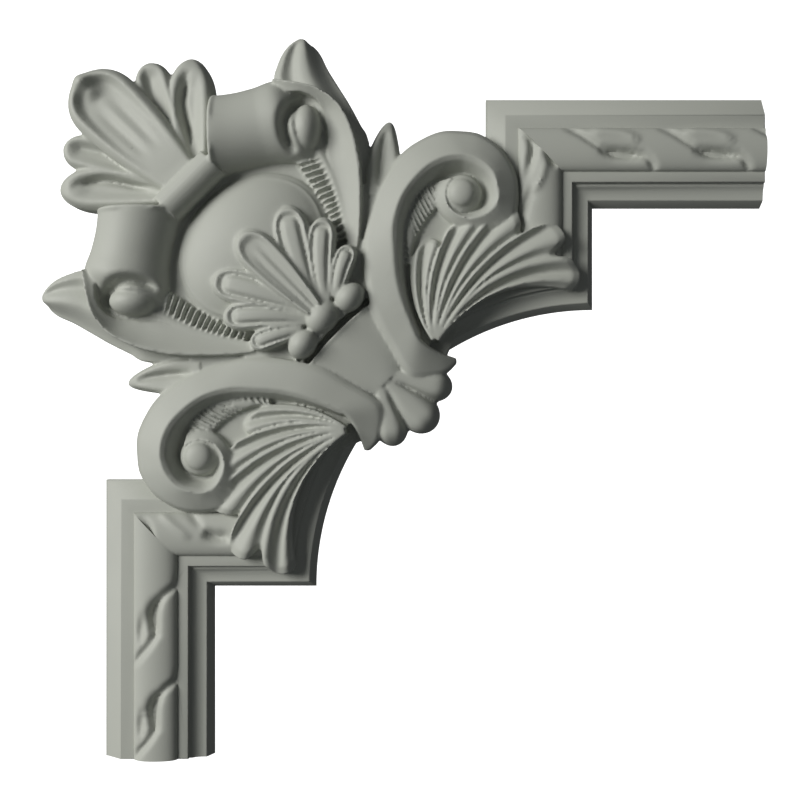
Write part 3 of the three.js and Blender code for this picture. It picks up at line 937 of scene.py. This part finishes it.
# %% [markdown]
# The piece hangs in the open, so the stage is a pale floor that sweeps up into a pale backdrop.
# The key light stands to the left and a little above, low enough to rake across the carving,
# and a weak cool fill opens the shadows on the right.

# %% Stage, lights and camera
FLOOR = -0.47
BACKDROP = 0.9
BACKDROP_TOP = 2.4
STAGE_FRONT = -2.6
STAGE_LEFT = -2.6
STAGE_WIDTH = 5.4
SWEEP_RADIUS = 0.4
SWEEP_STEPS = 12
STAGE_GLOW = 0.95
WORLD_COLOUR = (0.93, 0.97, 1, 1)
WORLD_STRENGTH = 0.08
CENTRE = Vector((0.16, 0.0, -0.17))


def stage_sweep():
    bm = bmesh.new()
    line = [(STAGE_FRONT, FLOOR)]
    for i in range(SWEEP_STEPS + 1):
        angle = QUARTER_TURN * i / SWEEP_STEPS
        back = BACKDROP - SWEEP_RADIUS + SWEEP_RADIUS * math.sin(angle)
        up = FLOOR + SWEEP_RADIUS - SWEEP_RADIUS * math.cos(angle)
        line.append((back, up))
    line.append((BACKDROP, BACKDROP_TOP))
    verts = [bm.verts.new((STAGE_LEFT, y, z)) for y, z in line]
    edges = [bm.edges.new(pair) for pair in zip(verts, verts[1:])]
    made = bmesh.ops.extrude_edge_only(bm, edges=edges)["geom"]
    moved = [v for v in made if isinstance(v, bmesh.types.BMVert)]
    bmesh.ops.translate(bm, verts=moved, vec=(STAGE_WIDTH, 0, 0))
    piece = mesh_object("floor_and_backdrop", bm)
    piece.data.shade_smooth()
    return piece


def stage_paint():
    material = bpy.data.materials.new("stage_pale")
    material.use_nodes = True
    shader = material.node_tree.nodes["Principled BSDF"]
    shader.inputs["Base Color"].default_value = (0.86, 0.86, 0.86, 1)
    shader.inputs["Roughness"].default_value = 0.9
    shader.inputs["Emission Color"].default_value = (1, 1, 1, 1)
    shader.inputs["Emission Strength"].default_value = STAGE_GLOW
    return material


def area_light(name, place, size, power, colour):
    light = bpy.data.lights.new(name, "AREA")
    light.size = size
    light.energy = power
    light.color = colour
    lamp = bpy.data.objects.new(name, light)
    lamp.location = place
    lamp.rotation_euler = (CENTRE - Vector(place)).to_track_quat("-Z", "Y").to_euler()
    bpy.context.scene.collection.objects.link(lamp)


sweep = stage_sweep()
sweep.data.materials.append(stage_paint())
sweep.visible_diffuse = False
sweep.visible_glossy = False

area_light("key", place=(-1.79, -1.56, 0.545), size=1.3, power=66, colour=(1, 0.99, 0.97))
area_light("fill", place=(1.3, -1.0, -0.9), size=1.2, power=0.35, colour=(0.72, 0.86, 1))

world = bpy.data.worlds.new("studio")
world.use_nodes = True
world.node_tree.nodes["Background"].inputs["Color"].default_value = WORLD_COLOUR
world.node_tree.nodes["Background"].inputs["Strength"].default_value = WORLD_STRENGTH
bpy.context.scene.world = world

PHOTO_SIDE = 800
CAMERA_DISTANCE = 0.675
METRES_PER_PIXEL = 0.0005625
ORIGIN_PIXEL = (108.6, 102.2)
FOOT_PIXEL = (452, 424)

camera_data = bpy.data.cameras.new("camera")
camera = bpy.data.objects.new("camera", camera_data)
foot = [(f - o) * METRES_PER_PIXEL for f, o in zip(FOOT_PIXEL, ORIGIN_PIXEL)]
camera.location = (foot[0], -CAMERA_DISTANCE, -foot[1])
camera.rotation_euler = (QUARTER_TURN, 0, 0)
camera_data.lens = camera_data.sensor_width * CAMERA_DISTANCE / (PHOTO_SIDE * METRES_PER_PIXEL)
camera_data.shift_x = 0.5 - FOOT_PIXEL[0] / PHOTO_SIDE
camera_data.shift_y = FOOT_PIXEL[1] / PHOTO_SIDE - 0.5
bpy.context.scene.collection.objects.link(camera)
bpy.context.scene.camera = camera
bpy.context.scene.view_settings.view_transform = "Standard"
print("camera lens:", round(camera_data.lens, 1), "mm, off the wall:", CAMERA_DISTANCE, "m")
